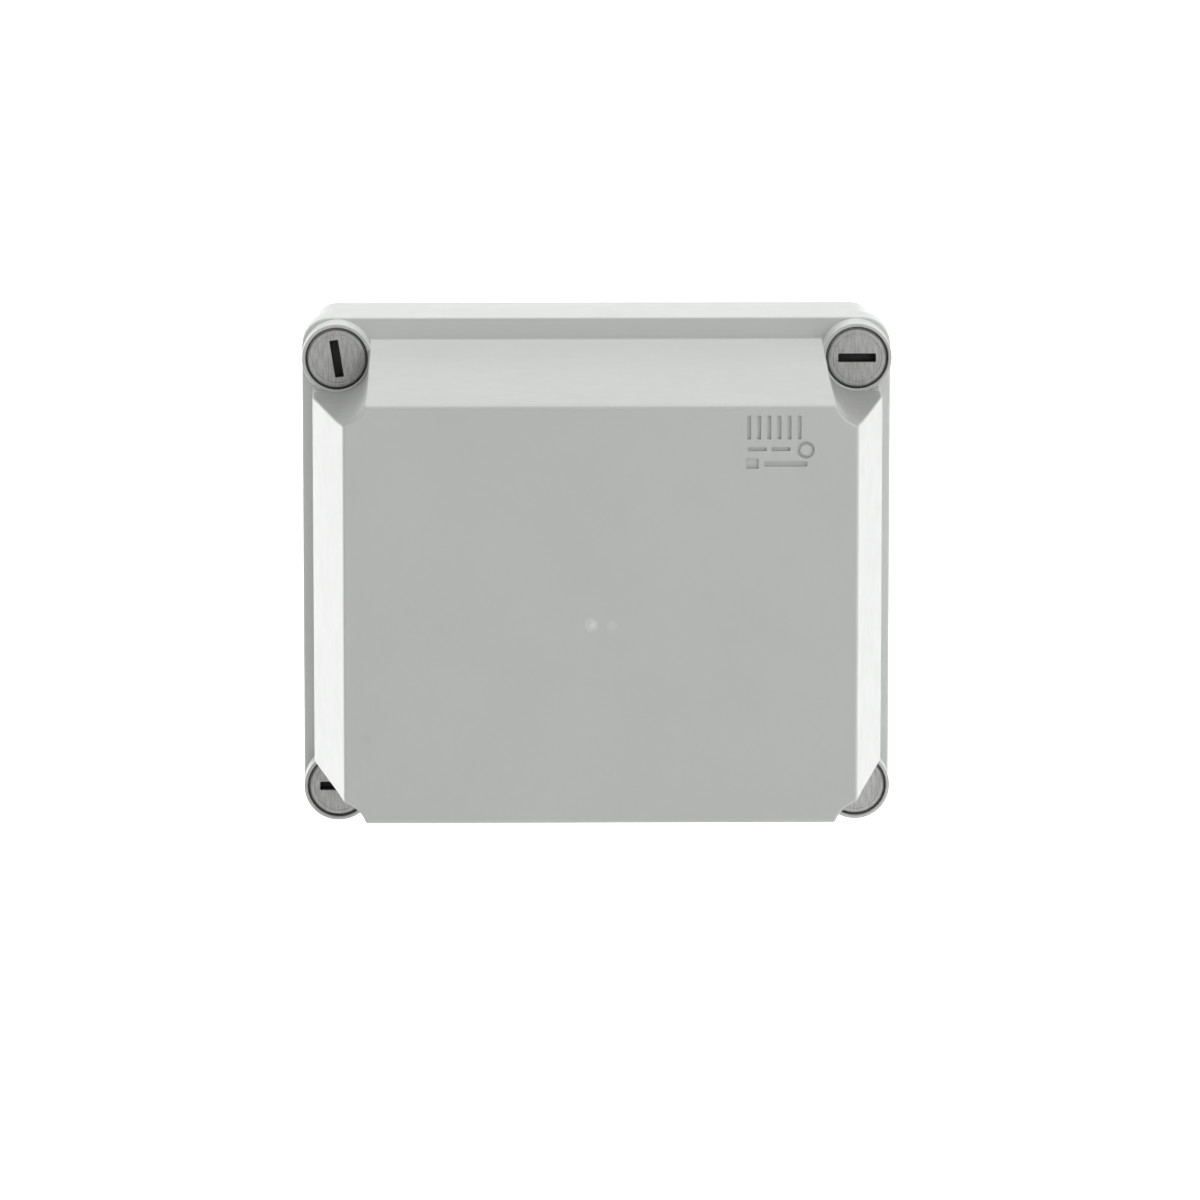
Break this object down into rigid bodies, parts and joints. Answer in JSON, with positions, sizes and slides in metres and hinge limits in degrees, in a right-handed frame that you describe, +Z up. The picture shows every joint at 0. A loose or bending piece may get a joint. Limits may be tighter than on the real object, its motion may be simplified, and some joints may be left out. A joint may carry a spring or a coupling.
{
  "type": "electrical junction box",
  "caption": "Surface-mounted grey plastic junction box with a deep tapered lid, quarter-turn corner screws, gasket, and a rail of screw terminals inside.",
  "frame": {"origin": "centre of the flat back face of the base, where it meets the wall", "axes": "+Y into the wall, so the front faces -Y; +X to the right seen from the front; +Z up the wall"},
  "size_m": [0.175, 0.15, 0.15],
  "materials": {
    "housing": "light grey moulded plastic, fine satin grain",
    "lid_screw": "grey glass-filled plastic, turned-looking face",
    "gasket": "dark foam rubber",
    "cap": "light grey moulded plastic",
    "zinc_steel": "bright zinc plate",
    "screw_steel": "zinc-plated, slotted",
    "tinned_copper": "tin-plated copper",
    "terminal_grey": "grey polyamide",
    "terminal_blue": "blue polyamide",
    "terminal_earth": "green and yellow polyamide",
    "end_stop": "dark grey polyamide"
  },
  "bodies": {
    "base": {"base_shell": "housing", "wall_screw_cap_top_left": "cap", "wall_screw_cap_top_right": "cap", "wall_screw_cap_bottom_left": "cap", "wall_screw_cap_bottom_right": "cap", "din_rail": "zinc_steel", "rail_screw_left": "screw_steel", "rail_screw_right": "screw_steel", "end_stop_left": "end_stop", "end_stop_screw_left": "screw_steel", "end_stop_right": "end_stop", "end_stop_screw_right": "screw_steel", "end_plate": "end_stop", "phase_terminal_1": "terminal_grey", "phase_terminal_1_bar": "tinned_copper", "phase_terminal_2": "terminal_grey", "phase_terminal_2_bar": "tinned_copper", "phase_terminal_3": "terminal_grey", "phase_terminal_3_bar": "tinned_copper", "neutral_terminal": "terminal_blue", "neutral_terminal_bar": "tinned_copper", "earth_terminal": "terminal_earth", "earth_terminal_bar": "tinned_copper"},
    "lid": {"lid_shell": "housing", "lid_gasket": "gasket"},
    "lid_screw_top_left": {"lid_screw_top_left": "lid_screw"},
    "lid_screw_top_right": {"lid_screw_top_right": "lid_screw"},
    "lid_screw_bottom_left": {"lid_screw_bottom_left": "lid_screw"},
    "lid_screw_bottom_right": {"lid_screw_bottom_right": "lid_screw"},
    "phase_terminal_1_screw_upper": {"phase_terminal_1_screw_upper": "screw_steel"},
    "phase_terminal_1_yoke_upper": {"phase_terminal_1_yoke_upper": "zinc_steel"},
    "phase_terminal_1_screw_lower": {"phase_terminal_1_screw_lower": "screw_steel"},
    "phase_terminal_1_yoke_lower": {"phase_terminal_1_yoke_lower": "zinc_steel"},
    "phase_terminal_2_screw_upper": {"phase_terminal_2_screw_upper": "screw_steel"},
    "phase_terminal_2_yoke_upper": {"phase_terminal_2_yoke_upper": "zinc_steel"},
    "phase_terminal_2_screw_lower": {"phase_terminal_2_screw_lower": "screw_steel"},
    "phase_terminal_2_yoke_lower": {"phase_terminal_2_yoke_lower": "zinc_steel"},
    "phase_terminal_3_screw_upper": {"phase_terminal_3_screw_upper": "screw_steel"},
    "phase_terminal_3_yoke_upper": {"phase_terminal_3_yoke_upper": "zinc_steel"},
    "phase_terminal_3_screw_lower": {"phase_terminal_3_screw_lower": "screw_steel"},
    "phase_terminal_3_yoke_lower": {"phase_terminal_3_yoke_lower": "zinc_steel"},
    "neutral_terminal_screw_upper": {"neutral_terminal_screw_upper": "screw_steel"},
    "neutral_terminal_yoke_upper": {"neutral_terminal_yoke_upper": "zinc_steel"},
    "neutral_terminal_screw_lower": {"neutral_terminal_screw_lower": "screw_steel"},
    "neutral_terminal_yoke_lower": {"neutral_terminal_yoke_lower": "zinc_steel"},
    "earth_terminal_screw_upper": {"earth_terminal_screw_upper": "screw_steel"},
    "earth_terminal_yoke_upper": {"earth_terminal_yoke_upper": "zinc_steel"},
    "earth_terminal_screw_lower": {"earth_terminal_screw_lower": "screw_steel"},
    "earth_terminal_yoke_lower": {"earth_terminal_yoke_lower": "zinc_steel"}
  },
  "joints": [
    {"name": "lid_lift", "type": "slide", "parent": "base", "child": "lid", "axis": [0, -1, 0], "range_m": [0, 0.12]},
    {"name": "lid_screw_top_left_turn", "type": "hinge", "parent": "lid", "child": "lid_screw_top_left", "pos_m": [-0.077, -0.07, 0.06425], "axis": [0, 1, 0], "range_deg": [0, 99]},
    {"name": "lid_screw_top_right_turn", "type": "hinge", "parent": "lid", "child": "lid_screw_top_right", "pos_m": [0.077, -0.07, 0.06425], "axis": [0, 1, 0], "range_deg": [-90, 0]},
    {"name": "lid_screw_bottom_left_turn", "type": "hinge", "parent": "lid", "child": "lid_screw_bottom_left", "pos_m": [-0.077, -0.07, -0.06425], "axis": [0, 1, 0], "range_deg": [-90, 0]},
    {"name": "lid_screw_bottom_right_turn", "type": "hinge", "parent": "lid", "child": "lid_screw_bottom_right", "pos_m": [0.077, -0.07, -0.06425], "axis": [0, 1, 0], "range_deg": [-30, 60]},
    {"name": "phase_terminal_1_yoke_upper_rise", "type": "slide", "parent": "base", "child": "phase_terminal_1_yoke_upper", "axis": [0, -1, 0], "range_m": [0, 0.0049]},
    {"name": "phase_terminal_1_screw_upper_turn", "type": "hinge", "parent": "base", "child": "phase_terminal_1_screw_upper", "pos_m": [-0.017, -0.04, 0.0125], "axis": [0, 1, 0], "range_deg": [0, 2521]},
    {"name": "phase_terminal_1_yoke_lower_rise", "type": "slide", "parent": "base", "child": "phase_terminal_1_yoke_lower", "axis": [0, -1, 0], "range_m": [0, 0.0049]},
    {"name": "phase_terminal_1_screw_lower_turn", "type": "hinge", "parent": "base", "child": "phase_terminal_1_screw_lower", "pos_m": [-0.017, -0.04, -0.0125], "axis": [0, 1, 0], "range_deg": [0, 2521]},
    {"name": "phase_terminal_2_yoke_upper_rise", "type": "slide", "parent": "base", "child": "phase_terminal_2_yoke_upper", "axis": [0, -1, 0], "range_m": [0, 0.0049]},
    {"name": "phase_terminal_2_screw_upper_turn", "type": "hinge", "parent": "base", "child": "phase_terminal_2_screw_upper", "pos_m": [-0.0087, -0.04, 0.0125], "axis": [0, 1, 0], "range_deg": [0, 2521]},
    {"name": "phase_terminal_2_yoke_lower_rise", "type": "slide", "parent": "base", "child": "phase_terminal_2_yoke_lower", "axis": [0, -1, 0], "range_m": [0, 0.0049]},
    {"name": "phase_terminal_2_screw_lower_turn", "type": "hinge", "parent": "base", "child": "phase_terminal_2_screw_lower", "pos_m": [-0.0087, -0.04, -0.0125], "axis": [0, 1, 0], "range_deg": [0, 2521]},
    {"name": "phase_terminal_3_yoke_upper_rise", "type": "slide", "parent": "base", "child": "phase_terminal_3_yoke_upper", "axis": [0, -1, 0], "range_m": [0, 0.0049]},
    {"name": "phase_terminal_3_screw_upper_turn", "type": "hinge", "parent": "base", "child": "phase_terminal_3_screw_upper", "pos_m": [-0.0004, -0.04, 0.0125], "axis": [0, 1, 0], "range_deg": [0, 2521]},
    {"name": "phase_terminal_3_yoke_lower_rise", "type": "slide", "parent": "base", "child": "phase_terminal_3_yoke_lower", "axis": [0, -1, 0], "range_m": [0, 0.0049]},
    {"name": "phase_terminal_3_screw_lower_turn", "type": "hinge", "parent": "base", "child": "phase_terminal_3_screw_lower", "pos_m": [-0.0004, -0.04, -0.0125], "axis": [0, 1, 0], "range_deg": [0, 2521]},
    {"name": "neutral_terminal_yoke_upper_rise", "type": "slide", "parent": "base", "child": "neutral_terminal_yoke_upper", "axis": [0, -1, 0], "range_m": [0, 0.0049]},
    {"name": "neutral_terminal_screw_upper_turn", "type": "hinge", "parent": "base", "child": "neutral_terminal_screw_upper", "pos_m": [0.0079, -0.04, 0.0125], "axis": [0, 1, 0], "range_deg": [0, 2521]},
    {"name": "neutral_terminal_yoke_lower_rise", "type": "slide", "parent": "base", "child": "neutral_terminal_yoke_lower", "axis": [0, -1, 0], "range_m": [0, 0.0049]},
    {"name": "neutral_terminal_screw_lower_turn", "type": "hinge", "parent": "base", "child": "neutral_terminal_screw_lower", "pos_m": [0.0079, -0.04, -0.0125], "axis": [0, 1, 0], "range_deg": [0, 2521]},
    {"name": "earth_terminal_yoke_upper_rise", "type": "slide", "parent": "base", "child": "earth_terminal_yoke_upper", "axis": [0, -1, 0], "range_m": [0, 0.0049]},
    {"name": "earth_terminal_screw_upper_turn", "type": "hinge", "parent": "base", "child": "earth_terminal_screw_upper", "pos_m": [0.0162, -0.04, 0.0125], "axis": [0, 1, 0], "range_deg": [0, 2521]},
    {"name": "earth_terminal_yoke_lower_rise", "type": "slide", "parent": "base", "child": "earth_terminal_yoke_lower", "axis": [0, -1, 0], "range_m": [0, 0.0049]},
    {"name": "earth_terminal_screw_lower_turn", "type": "hinge", "parent": "base", "child": "earth_terminal_screw_lower", "pos_m": [0.0162, -0.04, -0.0125], "axis": [0, 1, 0], "range_deg": [0, 2521]}
  ],
  "couplings": [
    {"joint": "phase_terminal_1_screw_upper_turn", "follows": "phase_terminal_1_yoke_upper_rise", "rad_per_m": 8976},
    {"joint": "phase_terminal_1_screw_lower_turn", "follows": "phase_terminal_1_yoke_lower_rise", "rad_per_m": 8976},
    {"joint": "phase_terminal_2_screw_upper_turn", "follows": "phase_terminal_2_yoke_upper_rise", "rad_per_m": 8976},
    {"joint": "phase_terminal_2_screw_lower_turn", "follows": "phase_terminal_2_yoke_lower_rise", "rad_per_m": 8976},
    {"joint": "phase_terminal_3_screw_upper_turn", "follows": "phase_terminal_3_yoke_upper_rise", "rad_per_m": 8976},
    {"joint": "phase_terminal_3_screw_lower_turn", "follows": "phase_terminal_3_yoke_lower_rise", "rad_per_m": 8976},
    {"joint": "neutral_terminal_screw_upper_turn", "follows": "neutral_terminal_yoke_upper_rise", "rad_per_m": 8976},
    {"joint": "neutral_terminal_screw_lower_turn", "follows": "neutral_terminal_yoke_lower_rise", "rad_per_m": 8976},
    {"joint": "earth_terminal_screw_upper_turn", "follows": "earth_terminal_yoke_upper_rise", "rad_per_m": 8976},
    {"joint": "earth_terminal_screw_lower_turn", "follows": "earth_terminal_yoke_lower_rise", "rad_per_m": 8976}
  ]
}
